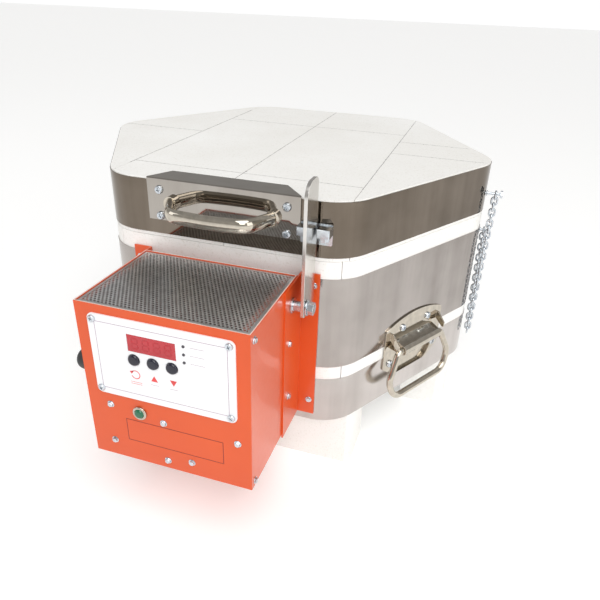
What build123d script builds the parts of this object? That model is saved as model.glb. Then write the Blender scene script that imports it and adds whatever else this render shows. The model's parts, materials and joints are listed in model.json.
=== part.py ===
"""Small hexagonal top-opening firebrick kiln with a front control box, in millimetres.

The origin is the centre of the underside of the floor slab. +Z is up, the control box faces -Y.
The six sides are numbered from the front (0), then right front, right back, back, left back, left front.
"""

import os
from math import asin, atan2, cos, degrees, hypot, pi, radians, sin, sqrt, tan

from build123d import *

os.makedirs("parts", exist_ok=True)

# ---------------------------------------------------------------- driving dimensions
apothem = 195.0          # centre of the kiln to each flat side of the brick
corner_radius = 45.0     # rounding of the six upright corners
wall = 64.0              # one brick thickness
slab_height = 63.5       # floor slab, one brick thickness
wall_height = 109.0
lid_gap = 0.4
lid_thickness = 54.6
foot_height = 63.5
joint = 0.6              # cement joint between bricks
brick_width = 114.3
outer_edge = 260.0       # past the widest corner, for strips that run off the outline

band = 0.8               # stainless sheet
bottom_band_height = 49.5
body_band_bottom = slab_height
body_band_top = 156.0
lid_band_bottom = 176.2
lid_band_top = 226.4

groove_heights = (78.0, 106.0, 134.0)
groove_size = 10.0
element_size = 8.4
lead_x = 30.0
lead_z = 83.0
lead_radius = 5.0
probe_z = 123.0
probe_radius = 3.0

pull_sheet = 1.5
keeper_sheet = 1.5
keeper_x = 86.8
handle_sheet = 1.6

hinge_y = apothem + 5.8
hinge_z = slab_height + wall_height + lid_gap / 2
hinge_pin_radius = 2.5
hinge_knuckle_radius = 4.8
hinge_width = 120.0
hinge_knuckles = 5
knuckle_gap = 0.5
leaf_thickness = 2.2
body_leaf = (118.0, 166.0)
lid_leaf = (179.4, 219.0)

box_half_width = 74.0
box_front_y = -313.0
box_back_y = -207.0
box_bottom = 11.5
box_top = 162.0
box_sheet = 1.2
faceplate_sheet = 1.5
gland_y = -292.0
gland_z = 92.0
gland_neck_radius = 9.0

bracket_sheet = 1.5
bracket_leg = 45.0
bracket_flange = 92.0
bracket_bottom = 8.5
bracket_top = 161.0

pivot_y = -224.0
pivot_z = 141.5
arm_inner_x = 85.3
arm_thickness = 3.0
arm_front_y = -231.5
arm_back_y = -202.0
arm_bottom = 134.0
arm_top = 250.5
pivot_radius = 3.0
running_gap = 0.06

handle_plate_half_width = 46.0
handle_plate_bottom = 22.7
handle_plate_shoulder = 81.2
handle_plate_crown = 91.0
bail_wire = 3.4
bail_lean = 6.0          # degrees that a bail rests out from upright
bail_off = 12.0
bail_z = 58.0
barrel_half = 30.0
barrel_radius = 5.2

link_wire = 1.1
link_width = 8.0
link_length = 11.0
link_pitch = link_length - 4 * link_wire - 0.2
lid_chain_x = 228.6      # the two strands hang side by side and draw together at their ends
body_chain_x = 223.6
chain_meet_x = 226.1
chain_bolt_radius = 1.4
lid_bolt_y = -6.0
lid_bolt_z = 195.0
body_bolt_y = 5.0
body_bolt_z = 150.0
upper_links = 26
lower_links = 20
lid_opening = 85.0

lid_bottom = slab_height + wall_height + lid_gap
lid_top = lid_bottom + lid_thickness
wall_top = slab_height + wall_height
band_face = apothem + band
chain_seat_x = (apothem - corner_radius) / cos(pi / 6) + corner_radius + band - 0.4

side_names = ["front", "right_front", "right_back", "back", "left_back", "left_front"]


# ---------------------------------------------------------------- shared shapes
def rounded_hexagon(size, radius):
    """A hexagon with flats facing +Y and -Y, from its apothem and corner radius."""
    with BuildSketch() as outline:
        RegularPolygon(size, 6, major_radius=False)
        if radius > 0:
            fillet(outline.vertices(), radius)
    return outline.sketch


def face_plane(side, off):
    """The upright plane of one side, off millimetres from the kiln's axis; local x runs along the side."""
    angle = radians(-90 + 60 * side)
    out = (cos(angle), sin(angle), 0)
    along = (-sin(angle), cos(angle), 0)
    return Plane(origin=(out[0] * off, out[1] * off, 0), x_dir=along, z_dir=out)


def on_plane(plane, x, y):
    """The plane moved so that its origin is at its own local point x, y."""
    return plane.shift_origin(plane.from_local_coords((x, y, 0)))


def save(piece, label):
    """Label a finished piece and write it."""
    piece.label = label
    export_step(piece, f"parts/{label}.step")


brick_outline = rounded_hexagon(apothem, corner_radius)
band_outline = rounded_hexagon(band_face, corner_radius + band)
chamber_outline = rounded_hexagon(apothem - wall, 0)
groove_outline = rounded_hexagon(apothem - wall + groove_size, 0)
element_reach = apothem - wall + 0.8 + element_size
element_inside = rounded_hexagon(element_reach - element_size, 6)
element_outside = rounded_hexagon(element_reach, 6 + element_size)


def screws(places, size):
    """Screws whose heads sit on the given planes and whose shanks run back through them."""
    head_radius, head_height, shank_radius, shank_length = size
    with BuildPart() as group:
        for place in places:
            with BuildSketch(place):
                Circle(head_radius)
            extrude(amount=head_height, taper=12)
            with BuildSketch(place):
                Circle(shank_radius)
            extrude(amount=-shank_length)
    return group.part


# ---------------------------------------------------------------- where the fasteners go
# Each size is a head radius, head height, shank radius and shank length.
large_screw = (4.0, 2.4, 1.9, 14.0)
medium_screw = (3.2, 2.0, 1.5, 6.0)
small_screw = (2.4, 1.6, 1.2, 8.0)

pull_face = band_face + pull_sheet
pull_bolts = [
    on_plane(face_plane(0, pull_face), x, z) for x in (-60.3, 60.3) for z in (194.3, 218.4)
]
keeper_face = band_face + keeper_sheet
keeper_bolts = [on_plane(face_plane(0, keeper_face), keeper_x + x, 194.0) for x in (-9.0, 9.0)]
leaf_face = band_face + leaf_thickness
lid_leaf_bolts = [on_plane(face_plane(3, leaf_face), x, 199.2) for x in (-48, 48)]
body_leaf_bolts = [on_plane(face_plane(3, leaf_face), x, 142.0) for x in (-48, 48)]
band_lap_screws = [
    on_plane(face_plane(4, band_face), -70.0, z) for z in (12.0, 37.0, 78.0, 110.0, 142.0)
]

handle_screws_at = []
for side in (1, 5):
    for x, z in ((-20.5, 77.5), (20.5, 77.5), (-36.0, 40.0), (36.0, 40.0)):
        handle_screws_at.append(on_plane(face_plane(side, band_face + handle_sheet), x, z))

box_screws_at = []
for end in (-1, 1):
    side_out = Plane(origin=(end * box_half_width, 0, 0), x_dir=(0, end, 0), z_dir=(end, 0, 0))
    for z in (16.5, 154.0):
        box_screws_at.append(on_plane(side_out, end * (box_front_y + 7.0), z))
    for z in (48.0, 105.0):
        box_screws_at.append(on_plane(side_out.offset(bracket_sheet), end * -228.0, z))
    for z in (25.0, 149.5):
        box_screws_at.append(on_plane(face_plane(0, band_face + bracket_sheet), end * 86.5, z))
for x, z in ((-53.1, 67.0), (-53.8, 28.3), (-4.0, 60.1), (-3.0, 20.0), (19.8, 24.8), (62.1, 58.0)):
    box_screws_at.append(on_plane(face_plane(0, -box_front_y), x, z))

panel_face = -box_front_y + faceplate_sheet
panel_screws_at = [
    on_plane(face_plane(0, panel_face), x, z) for x in (-58.0, 58.0) for z in (84.3, 149.8)
]

# Every sheet and brick that a fastener goes through is drilled with the same cylinders.
drilled = [
    (pull_bolts + lid_leaf_bolts + body_leaf_bolts + band_lap_screws + handle_screws_at, large_screw),
    (box_screws_at + panel_screws_at, medium_screw),
    (keeper_bolts, small_screw),
]
with BuildPart() as drill_work:
    for places, size in drilled:
        for place in places:
            with BuildSketch(place.offset(1)):
                Circle(size[2])
            extrude(amount=-size[3] - 1)
    for y, z in ((lid_bolt_y, lid_bolt_z), (body_bolt_y, body_bolt_z)):
        with BuildSketch(Plane.YZ.offset(chain_seat_x - 12)):
            with Locations((y, z)):
                Circle(chain_bolt_radius)
        extrude(amount=14)
screw_holes = drill_work.part

# ---------------------------------------------------------------- firebrick
foot_length, foot_depth, foot_inset = 104.0, 52.0, 18.0
foot_x, side_foot_x, side_foot_length = 77.0, 186.0, 84.0
with BuildPart() as brick_feet:
    with BuildSketch(Plane.XY.offset(-foot_height)):
        for across in (-1, 1):
            for back in (-1, 1):
                with Locations((across * foot_x, back * (apothem - foot_inset - foot_depth / 2))):
                    Rectangle(foot_length, foot_depth)
            with Locations((across * side_foot_x, 0)):
                Rectangle(foot_depth, side_foot_length)
        add(brick_outline, mode=Mode.INTERSECT)
    extrude(amount=foot_height - 0.1)
save(brick_feet.part, "brick_feet")

strip_edges = [-outer_edge, -brick_width, 0.0, brick_width, outer_edge]
with BuildPart() as floor_bricks:
    for left, right in zip(strip_edges, strip_edges[1:]):
        with BuildSketch(Plane.XY.offset(0)):
            with Locations(((left + right) / 2, 0)):
                Rectangle(right - left - joint, 2 * apothem + 2)
            add(brick_outline, mode=Mode.INTERSECT)
        extrude(amount=slab_height)
    add(screw_holes, mode=Mode.SUBTRACT)
save(floor_bricks.part, "floor_bricks")

for side, side_name in enumerate(side_names):
    middle = radians(-90 + 60 * side)
    reach = 2 * apothem
    apex = (joint * cos(middle), joint * sin(middle))
    with BuildPart() as wall_brick:
        with BuildSketch(Plane.XY.offset(slab_height)):
            add(brick_outline)
            add(chamber_outline, mode=Mode.SUBTRACT)
            with BuildLine():
                Polyline(
                    apex,
                    (apex[0] + reach * cos(middle - pi / 6), apex[1] + reach * sin(middle - pi / 6)),
                    (apex[0] + reach * cos(middle + pi / 6), apex[1] + reach * sin(middle + pi / 6)),
                    close=True,
                )
            make_face(mode=Mode.INTERSECT)
        extrude(amount=wall_height)
        for height in groove_heights:
            with BuildSketch(Plane.XY.offset(height)):
                add(groove_outline)
            extrude(amount=groove_size, mode=Mode.SUBTRACT)
        if side == 0:
            with BuildSketch(Plane.XZ.offset(apothem + 5)):
                with Locations((-lead_x, lead_z), (lead_x, lead_z)):
                    Circle(lead_radius + 0.1)
                with Locations((0, probe_z)):
                    Circle(probe_radius + 0.1)
            extrude(amount=-(wall + 10), mode=Mode.SUBTRACT)
        add(screw_holes, mode=Mode.SUBTRACT)
    save(wall_brick.part, f"wall_brick_{side_name}")

# The lid's long joints run front to back, and its short ones lie where full bricks end.
lid_strips = {
    "left": (-outer_edge, -brick_width, [0.0]),
    "centre_left": (-brick_width, 0.0, [-148.0, 84.0]),
    "centre_right": (0.0, brick_width, [-148.0, 84.0]),
    "right": (brick_width, outer_edge, [-12.0, 46.0]),
}
for strip_name, (left, right, cuts) in lid_strips.items():
    ends = [-apothem - 5] + cuts + [apothem + 5]
    with BuildPart() as lid_bricks:
        for near, far in zip(ends, ends[1:]):
            with BuildSketch(Plane.XY.offset(lid_bottom)):
                with Locations(((left + right) / 2, (near + far) / 2)):
                    Rectangle(right - left - joint, far - near - joint)
                add(brick_outline, mode=Mode.INTERSECT)
            extrude(amount=lid_thickness)
        add(screw_holes, mode=Mode.SUBTRACT)
    save(lid_bricks.part, f"lid_bricks_{strip_name}")

# ---------------------------------------------------------------- stainless bands
with BuildPart() as bottom_band:
    with BuildSketch(Plane.XY.offset(0)):
        add(band_outline)
        add(brick_outline, mode=Mode.SUBTRACT)
    extrude(amount=bottom_band_height)
    add(screw_holes, mode=Mode.SUBTRACT)
save(bottom_band.part, "bottom_band")

with BuildPart() as body_band:
    with BuildSketch(Plane.XY.offset(body_band_bottom)):
        add(band_outline)
        add(brick_outline, mode=Mode.SUBTRACT)
    extrude(amount=body_band_top - body_band_bottom)
    with BuildSketch(Plane.XZ.offset(apothem + 5)):
        with Locations((-lead_x, lead_z), (lead_x, lead_z), (0, probe_z)):
            Circle(lead_radius + 0.6)
    extrude(amount=-10, mode=Mode.SUBTRACT)
    add(screw_holes, mode=Mode.SUBTRACT)
save(body_band.part, "body_band")

with BuildPart() as lid_band:
    with BuildSketch(Plane.XY.offset(lid_band_bottom)):
        add(band_outline)
        add(brick_outline, mode=Mode.SUBTRACT)
    extrude(amount=lid_band_top - lid_band_bottom)
    add(screw_holes, mode=Mode.SUBTRACT)
save(lid_band.part, "lid_band")

# ---------------------------------------------------------------- heating element and probe
with BuildPart() as heating_element:
    for height in groove_heights:
        with BuildSketch(Plane.XY.offset(height + (groove_size - element_size) / 2)):
            add(element_outside)
            add(element_inside, mode=Mode.SUBTRACT)
        extrude(amount=element_size)
save(heating_element.part, "heating_element")

with BuildPart() as element_terminals:
    with BuildSketch(Plane.XZ.offset(element_reach)):
        with Locations((-lead_x, lead_z), (lead_x, lead_z)):
            Circle(lead_radius)
    extrude(amount=213.0 - element_reach)
    with BuildSketch(Plane.XZ.offset(213.0)):
        with Locations((-lead_x, lead_z), (lead_x, lead_z)):
            Circle(1.8)
    extrude(amount=12.0)
    with BuildSketch(Plane.XZ.offset(218.0)):
        with Locations((-lead_x, lead_z), (lead_x, lead_z)):
            RegularPolygon(4.5, 6)
    extrude(amount=3.0)
save(element_terminals.part, "element_terminals")

with BuildPart() as thermocouple:
    with BuildSketch(Plane.XZ.offset(102.0)):
        with Locations((0, probe_z)):
            Circle(probe_radius)
    extrude(amount=112.0)
    with BuildSketch(Plane.XZ.offset(214.0)):
        with Locations((0, probe_z)):
            Rectangle(24.0, 16.0)
    extrude(amount=12.0)
    fillet(thermocouple.faces().sort_by(Axis.Y)[0].edges(), 1.5)
save(thermocouple.part, "thermocouple")


# ---------------------------------------------------------------- rear hinge
def hinge_leaf(low, high, knuckle_numbers, bore):
    """A hinge leaf on the back of the kiln, with its share of the knuckles."""
    pitch = hinge_width / hinge_knuckles
    with BuildPart() as leaf:
        with BuildSketch(Plane.XY.offset(low)):
            with Locations((0, band_face + leaf_thickness / 2)):
                Rectangle(hinge_width, leaf_thickness)
        extrude(amount=high - low)
        add(screw_holes, mode=Mode.SUBTRACT)
        for number in knuckle_numbers:
            start = -hinge_width / 2 + number * pitch + knuckle_gap / 2
            near = min(low, hinge_z) if low > hinge_z else high
            far = low if low > hinge_z else hinge_z
            with BuildSketch(Plane.YZ.offset(start)):
                with Locations((hinge_y, hinge_z)):
                    Circle(hinge_knuckle_radius)
                with Locations((band_face + leaf_thickness / 2, (near + far) / 2)):
                    Rectangle(leaf_thickness, abs(far - near) + 0.02)
                with Locations((hinge_y, hinge_z)):
                    Circle(bore, mode=Mode.SUBTRACT)
            extrude(amount=pitch - knuckle_gap)
    return leaf.part


save(hinge_leaf(*body_leaf, (0, 2, 4), hinge_pin_radius + 0.05), "hinge_body_leaf")
save(hinge_leaf(*lid_leaf, (1, 3), hinge_pin_radius + 0.05), "hinge_lid_leaf")

with BuildPart() as hinge_pin:
    with BuildSketch(Plane.YZ.offset(-hinge_width / 2 - 1)):
        with Locations((hinge_y, hinge_z)):
            Circle(hinge_pin_radius)
    extrude(amount=hinge_width + 2)
    with BuildSketch(Plane.YZ.offset(hinge_width / 2 + 0.6)):
        with Locations((hinge_y, hinge_z)):
            Circle(hinge_knuckle_radius - 0.6)
    extrude(amount=2.4)
    with BuildSketch(Plane.YZ.offset(-hinge_width / 2 - 0.6)):
        with Locations((hinge_y, hinge_z)):
            Circle(hinge_knuckle_radius - 0.6)
    extrude(amount=-2.4)
save(hinge_pin.part, "hinge_pin")

# ---------------------------------------------------------------- lid pull handle
pull_plate_half = 72.3
pull_plate_bottom = 190.0
with BuildPart() as lid_handle_plate:
    with BuildSketch(face_plane(0, band_face)):
        with Locations((0, (pull_plate_bottom + lid_top + pull_sheet) / 2)):
            Rectangle(2 * pull_plate_half, lid_top + pull_sheet - pull_plate_bottom)
    extrude(amount=pull_sheet)
    with BuildSketch(Plane.XY.offset(lid_top)):
        with BuildLine():
            Polyline(
                (-pull_plate_half, -band_face - 0.2),
                (pull_plate_half, -band_face - 0.2),
                (52.0, -171.5),
                (-60.0, -171.5),
                close=True,
            )
        make_face()
    extrude(amount=pull_sheet)
    fold = lid_handle_plate.edges().filter_by(Axis.X).sort_by(Axis.Z)[-4:].sort_by(Axis.Y)[0]
    fillet(fold, 1.2)
    add(screw_holes, mode=Mode.SUBTRACT)
save(lid_handle_plate.part, "lid_handle_plate")

pull_reach = 32.0
pull_z = 207.0
bow_half = 28.0
bow_rise = 2.0
bend_radius = 14.0
leg_turn = radians(63.4)
bow_front = -pull_face - pull_reach
bow_radius = (bow_half**2 + bow_rise**2) / (2 * bow_rise)
bow_turn = asin(bow_half / bow_radius)
bend_x = bow_half + bend_radius * (sin(leg_turn) - sin(bow_turn))
bend_y = bow_front + bow_rise + bend_radius * (cos(bow_turn) - cos(leg_turn))
leg_end_y = -pull_face - 3.0
pull_half = bend_x + (leg_end_y - bend_y) / tan(leg_turn)
with BuildLine() as bow:
    ThreePointArc((-bow_half, bow_front + bow_rise), (0, bow_front), (bow_half, bow_front + bow_rise))
    for end in (-1, 1):
        TangentArc(
            (end * bow_half, bow_front + bow_rise),
            (end * bend_x, bend_y),
            tangent=(end * (bow_radius - bow_rise), bow_half),
        )
        Line((end * bend_x, bend_y), (end * pull_half, leg_end_y))
bar_path = bow.wires()[0].moved(Location((0, 0, pull_z)))
with BuildPart() as lid_handle:
    with BuildSketch(Plane(origin=bar_path @ 0, z_dir=bar_path % 0, x_dir=(0, 0, 1))):
        Ellipse(6.3, 4.2)
    sweep(path=bar_path)
    for end in (-1, 1):
        with BuildSketch(face_plane(0, pull_face)):
            with Locations((end * pull_half, pull_z)):
                Ellipse(6.4, 7.4)
        extrude(amount=4.0)
save(lid_handle.part, "lid_handle")

# ---------------------------------------------------------------- guide for the prop arm
keeper_half = 14.2
keeper_gap = 3.0
keeper_reach = 12.0
with BuildPart() as keeper_bracket:
    with BuildSketch(face_plane(0, band_face)):
        with Locations((keeper_x, 198.5)):
            RectangleRounded(2 * keeper_half, 19.0, 1.5)
    extrude(amount=keeper_sheet)
    for end in (-1, 1):
        with BuildSketch(face_plane(0, keeper_face)):
            with Locations((keeper_x + end * (keeper_half + keeper_gap) / 2, 203.0)):
                Rectangle(keeper_half - keeper_gap, 8.0)
        extrude(amount=keeper_reach)
    fillet(keeper_bracket.faces().sort_by(Axis.Y)[:2].edges(), 1.0)
    add(screw_holes, mode=Mode.SUBTRACT)
save(keeper_bracket.part, "keeper_bracket")

with BuildPart() as keeper_nuts:
    for end in (-1, 1):
        with BuildSketch(Plane.XY.offset(195.6)):
            with Locations((keeper_x + end * (keeper_half + keeper_gap) / 2, -keeper_face - 7.0)):
                RegularPolygon(4.2, 6)
        extrude(amount=3.4)
save(keeper_nuts.part, "keeper_nuts")

with BuildPart() as lid_bolts:
    add(screws(pull_bolts + lid_leaf_bolts, large_screw))
    add(screws(keeper_bolts, small_screw))
save(lid_bolts.part, "lid_bolts")


# ---------------------------------------------------------------- chest handles on two sides
def chest_handle_plate(side):
    """A pressed plate with an arched top, a rolled barrel for the bail and two stop ears."""
    with BuildPart() as plate:
        with BuildSketch(face_plane(side, band_face)):
            with BuildLine():
                ThreePointArc(
                    (handle_plate_half_width, handle_plate_shoulder),
                    (0, handle_plate_crown),
                    (-handle_plate_half_width, handle_plate_shoulder),
                )
                Polyline(
                    (-handle_plate_half_width, handle_plate_shoulder),
                    (-handle_plate_half_width, handle_plate_bottom + 13),
                    (-28, handle_plate_bottom),
                    (28, handle_plate_bottom),
                    (handle_plate_half_width, handle_plate_bottom + 13),
                    (handle_plate_half_width, handle_plate_shoulder),
                )
            make_face()
        extrude(amount=handle_sheet)
        fillet(plate.edges().filter_by(lambda edge: edge.length < handle_sheet + 0.1), 4.0)
        barrel = face_plane(side, apothem + bail_off)
        across = Plane(origin=barrel.from_local_coords((-barrel_half, bail_z, 0)),
                       x_dir=(0, 0, 1), z_dir=barrel.x_dir)
        behind = band_face + 1.2 - apothem - bail_off
        with BuildSketch(across):
            Circle(barrel_radius)
            with BuildLine():
                Polyline(
                    (9.0, behind), (barrel_radius, 0), (-barrel_radius, 0), (-barrel_radius, behind),
                    close=True,
                )
            make_face()
        extrude(amount=2 * barrel_half)
        with BuildSketch(across.offset(-1)):
            Circle(bail_wire + running_gap)
        extrude(amount=2 * barrel_half + 2, mode=Mode.SUBTRACT)
        for end in (-1, 1):
            with BuildSketch(across.offset(barrel_half + end * 38.0 - handle_sheet / 2)):
                with BuildLine():
                    Polyline(
                        (11.0, behind), (19.0, behind), (19.0, -7.0), (9.0, 1.8), (3.8, 1.8), (3.8, -1.2),
                        close=True,
                    )
                make_face()
            extrude(amount=handle_sheet)
        add(screw_holes, mode=Mode.SUBTRACT)
    return plate.part


def chest_handle_bail(side):
    """A wire bail whose two ends meet inside the barrel, hanging a little away from the plate."""
    face = face_plane(side, apothem + bail_off)
    lean = radians(bail_lean)
    plane = Plane(
        origin=face.from_local_coords((0, bail_z, 0)),
        x_dir=face.x_dir,
        z_dir=face.z_dir * cos(lean) + Vector(0, 0, sin(lean)),
    )
    with BuildPart() as bail:
        with BuildLine(plane) as loop:
            FilletPolyline(
                (-1.0, 0),
                (-35.0, 0),
                (-50.0, -29.0),
                (-42.0, -50.5),
                (42.0, -50.5),
                (50.0, -29.0),
                (35.0, 0),
                (1.0, 0),
                radius=(7.5, 16.0, 16.0, 16.0, 16.0, 7.5),
            )
        path = loop.wires()[0]
        with BuildSketch(Plane(origin=path @ 0, z_dir=path % 0)):
            Circle(bail_wire)
        sweep(path=path)
    return bail.part


for side, name in ((1, "right"), (5, "left")):
    save(chest_handle_plate(side), f"handle_plate_{name}")
    save(chest_handle_bail(side), f"bail_{name}")
save(screws(handle_screws_at, large_screw), "handle_screws")

save(screws(band_lap_screws + body_leaf_bolts, large_screw), "body_screws")


# ---------------------------------------------------------------- lid chain
bolt_reach = 4.5


def chain_bolt(x, y, z):
    """A bolt on the right corner whose bare shank carries the first link of a chain strand."""
    corner_centre = (apothem - corner_radius) / cos(pi / 6)
    surface = corner_centre + sqrt((corner_radius + band) ** 2 - y**2)
    with BuildPart() as bolt:
        with BuildSketch(Plane.YZ.offset(chain_seat_x - 12)):
            with Locations((y, z)):
                Circle(chain_bolt_radius)
        extrude(amount=x + bolt_reach - chain_seat_x + 12)
        with BuildSketch(Plane.YZ.offset(surface + 0.5)):
            with Locations((y, z)):
                Circle(3.0)
        extrude(amount=0.8)
        with BuildSketch(Plane.YZ.offset(x + bolt_reach)):
            with Locations((y, z)):
                RegularPolygon(4.2, 6)
        extrude(amount=2.6)
    return bolt.part


save(chain_bolt(lid_chain_x, lid_bolt_y, lid_bolt_z), "chain_bolt_lid")
save(chain_bolt(body_chain_x, body_bolt_y, body_bolt_z), "chain_bolt_body")

arc_radius = link_width / 2 - link_wire
arc_centre = link_length / 2 - link_width / 2
with BuildPart() as link:
    with BuildLine(Plane.YZ) as centre_line:
        Polyline((arc_radius, -arc_centre), (arc_radius, arc_centre))
        RadiusArc((arc_radius, arc_centre), (-arc_radius, arc_centre), -arc_radius)
        Polyline((-arc_radius, arc_centre), (-arc_radius, -arc_centre))
        RadiusArc((-arc_radius, -arc_centre), (arc_radius, -arc_centre), -arc_radius)
    with BuildSketch(Plane.XY):
        with Locations((0, arc_radius)):
            Circle(link_wire)
    sweep(path=centre_line.wires()[0])
link_solid = link.part


def chain_strand(x, y, z, count, closing_tilt=None):
    """Links hanging from a bolt, each a quarter turn from the last; the closing link leans over."""
    places = []
    for number in range(count):
        turn = 0 if number % 2 == 0 else 90
        height = z - arc_centre - number * link_pitch
        drift = (chain_meet_x - x) * number / (count - 1)
        places.append(Location((x + drift, y, height), (0, 0, turn)))
    if closing_tilt is not None:
        lean = radians(closing_tilt)
        seat_drop = link_length / 2 - link_wire
        seat = places[-1].position.Z - seat_drop
        reach = link_pitch - seat_drop
        places.append(
            Location((chain_meet_x, y + reach * sin(lean), seat - reach * cos(lean)), (closing_tilt, 0, 0))
        )
    with BuildPart() as strand:
        for place in places:
            with Locations(place):
                add(link_solid)
    return strand.part


save(chain_strand(lid_chain_x, lid_bolt_y, lid_bolt_z, upper_links, closing_tilt=24.0), "chain_upper")
save(chain_strand(body_chain_x, body_bolt_y, body_bolt_z, lower_links), "chain_lower")

# ---------------------------------------------------------------- control box shell
box_width = 2 * box_half_width
box_depth = box_back_y - box_front_y
box_middle_y = (box_back_y + box_front_y) / 2
inner_half = box_half_width - box_sheet
pivot_place = (pivot_y, pivot_z)

with BuildPart() as box_chassis:
    with BuildSketch(Plane.XZ.offset(-(box_back_y - box_sheet - 0.1))):
        with Locations((0, (box_bottom + box_top) / 2)):
            Rectangle(box_width, box_top - box_bottom)
        with Locations((0, (box_bottom + box_top) / 2 + box_sheet)):
            Rectangle(2 * inner_half, box_top - box_bottom, mode=Mode.SUBTRACT)
        for end in (-1, 1):
            with Locations((end * (inner_half - 4.0), box_top - 2.4)):
                Rectangle(8.2, box_sheet)
    extrude(amount=box_depth - 2 * box_sheet - 0.2)
    with BuildSketch(Plane.YZ.offset(inner_half - 1)):
        with Locations(pivot_place):
            Circle(pivot_radius + 0.1)
    extrude(amount=4, mode=Mode.SUBTRACT)
    with BuildSketch(Plane.YZ.offset(-box_half_width - 1)):
        with Locations((gland_y, gland_z)):
            Circle(gland_neck_radius + 0.2)
    extrude(amount=4, mode=Mode.SUBTRACT)
    with BuildSketch(Plane.XY.offset(box_bottom - 1)):
        with Locations((0, box_middle_y)):
            with GridLocations(14, 0, 7, 1):
                SlotOverall(40, 4, rotation=90)
    extrude(amount=4, mode=Mode.SUBTRACT)
    add(screw_holes, mode=Mode.SUBTRACT)
save(box_chassis.part, "box_chassis")

controller_z = 116.8
pilot_x, pilot_z = -25.3, 65.2
with BuildPart() as box_front:
    with BuildSketch(face_plane(0, -box_front_y - box_sheet)):
        with Locations((0, (box_bottom + box_top) / 2)):
            Rectangle(box_width, box_top - box_bottom)
        with Locations((0, controller_z)):
            Rectangle(104.0, 54.0, mode=Mode.SUBTRACT)
        with Locations((pilot_x, pilot_z)):
            Circle(5.2, mode=Mode.SUBTRACT)
    extrude(amount=box_sheet)
    add(screw_holes, mode=Mode.SUBTRACT)
save(box_front.part, "box_front")

with BuildPart() as box_back:
    with BuildSketch(face_plane(0, -box_back_y)):
        with Locations((0, (box_bottom + box_top) / 2)):
            Rectangle(box_width, box_top - box_bottom)
        with Locations((-lead_x, lead_z), (lead_x, lead_z), (0, probe_z)):
            Circle(7.0, mode=Mode.SUBTRACT)
        with Locations((0, 40.0)):
            with GridLocations(12, 0, 9, 1):
                SlotOverall(26, 4, rotation=90, mode=Mode.SUBTRACT)
    extrude(amount=box_sheet)
save(box_back.part, "box_back")

with BuildPart() as box_grille:
    with BuildSketch(Plane.XY.offset(box_top - 1.7)):
        with Locations((0, box_middle_y)):
            Rectangle(2 * inner_half - 0.4, box_depth - 2 * box_sheet - 0.6)
    extrude(amount=1.0)
save(box_grille.part, "box_grille")


# ---------------------------------------------------------------- box brackets
def box_bracket(end):
    """An angle that carries the box: one leg on the box's side, one flange on the kiln's front."""
    with BuildPart() as bracket:
        with BuildSketch(Plane.XY.offset(bracket_bottom)):
            with BuildLine():
                Polyline(
                    (end * box_half_width, -band_face - bracket_leg),
                    (end * (box_half_width + bracket_sheet), -band_face - bracket_leg),
                    (end * (box_half_width + bracket_sheet), -band_face - bracket_sheet),
                    (end * bracket_flange, -band_face - bracket_sheet),
                    (end * bracket_flange, -band_face),
                    (end * box_half_width, -band_face),
                    close=True,
                )
            make_face()
        extrude(amount=bracket_top - bracket_bottom)
        if end > 0:
            with BuildSketch(Plane.YZ.offset(box_half_width - 1)):
                with Locations(pivot_place):
                    Circle(pivot_radius + 0.1)
            extrude(amount=4, mode=Mode.SUBTRACT)
        add(screw_holes, mode=Mode.SUBTRACT)
    return bracket.part


save(box_bracket(1), "bracket_right")
save(box_bracket(-1), "bracket_left")

save(screws(box_screws_at, medium_screw), "box_screws")

# ---------------------------------------------------------------- control panel
faceplate_width, faceplate_height = 125.0, 75.0
display_x, display_z, display_width, display_height = -7.6, 134.2, 42.0, 15.6
button_z, button_radius, button_gap = 118.9, 5.0, 0.3
button_places = {"left": -24.1, "middle": -7.4, "right": 9.2}
lamp_x, lamp_radius = 20.3, 1.2
lamp_heights = (126.8, 134.0, 141.3)
with BuildPart() as faceplate:
    with BuildSketch(face_plane(0, -box_front_y)):
        with Locations((0, controller_z)):
            RectangleRounded(faceplate_width, faceplate_height, 5.0)
        with Locations((display_x, display_z)):
            Rectangle(display_width + 0.1, display_height + 0.1, mode=Mode.SUBTRACT)
        with Locations([(x, button_z) for x in button_places.values()]):
            Circle(button_radius + button_gap, mode=Mode.SUBTRACT)
        with Locations([(lamp_x, z) for z in lamp_heights]):
            Circle(lamp_radius + 0.05, mode=Mode.SUBTRACT)
    extrude(amount=faceplate_sheet)
    fillet(faceplate.faces().sort_by(Axis.Y)[0].edges().filter_by(GeomType.LINE).group_by(
        SortBy.LENGTH)[-1], 0.4)
    add(screw_holes, mode=Mode.SUBTRACT)
save(faceplate.part, "faceplate")

save(screws(panel_screws_at, medium_screw), "faceplate_screws")

with BuildPart() as display_window:
    with BuildSketch(face_plane(0, -box_front_y - 2.0)):
        with Locations((display_x, display_z)):
            Rectangle(display_width, display_height)
    extrude(amount=faceplate_sheet + 1.8)
save(display_window.part, "display_window")

with BuildPart() as status_lamps:
    for z in lamp_heights:
        with BuildSketch(face_plane(0, -box_front_y - 4.0)):
            with Locations((lamp_x, z)):
                Circle(lamp_radius)
        extrude(amount=faceplate_sheet + 4.6)
save(status_lamps.part, "status_lamps")

board_y = -301.0
for name, x in button_places.items():
    with BuildPart() as button:
        with BuildSketch(face_plane(0, -box_front_y - 3.0)):
            with Locations((x, button_z)):
                Circle(button_radius)
        extrude(amount=3.0 + faceplate_sheet + 2.2)
        front_rim = button.faces().sort_by(Axis.Y)[0].edges()
        fillet(front_rim, 1.9)
        with BuildSketch(face_plane(0, -box_front_y - 3.0)):
            with Locations((x, button_z)):
                Circle(2.0)
        extrude(amount=-3.0)
    save(button.part, f"button_{name}")

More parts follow.
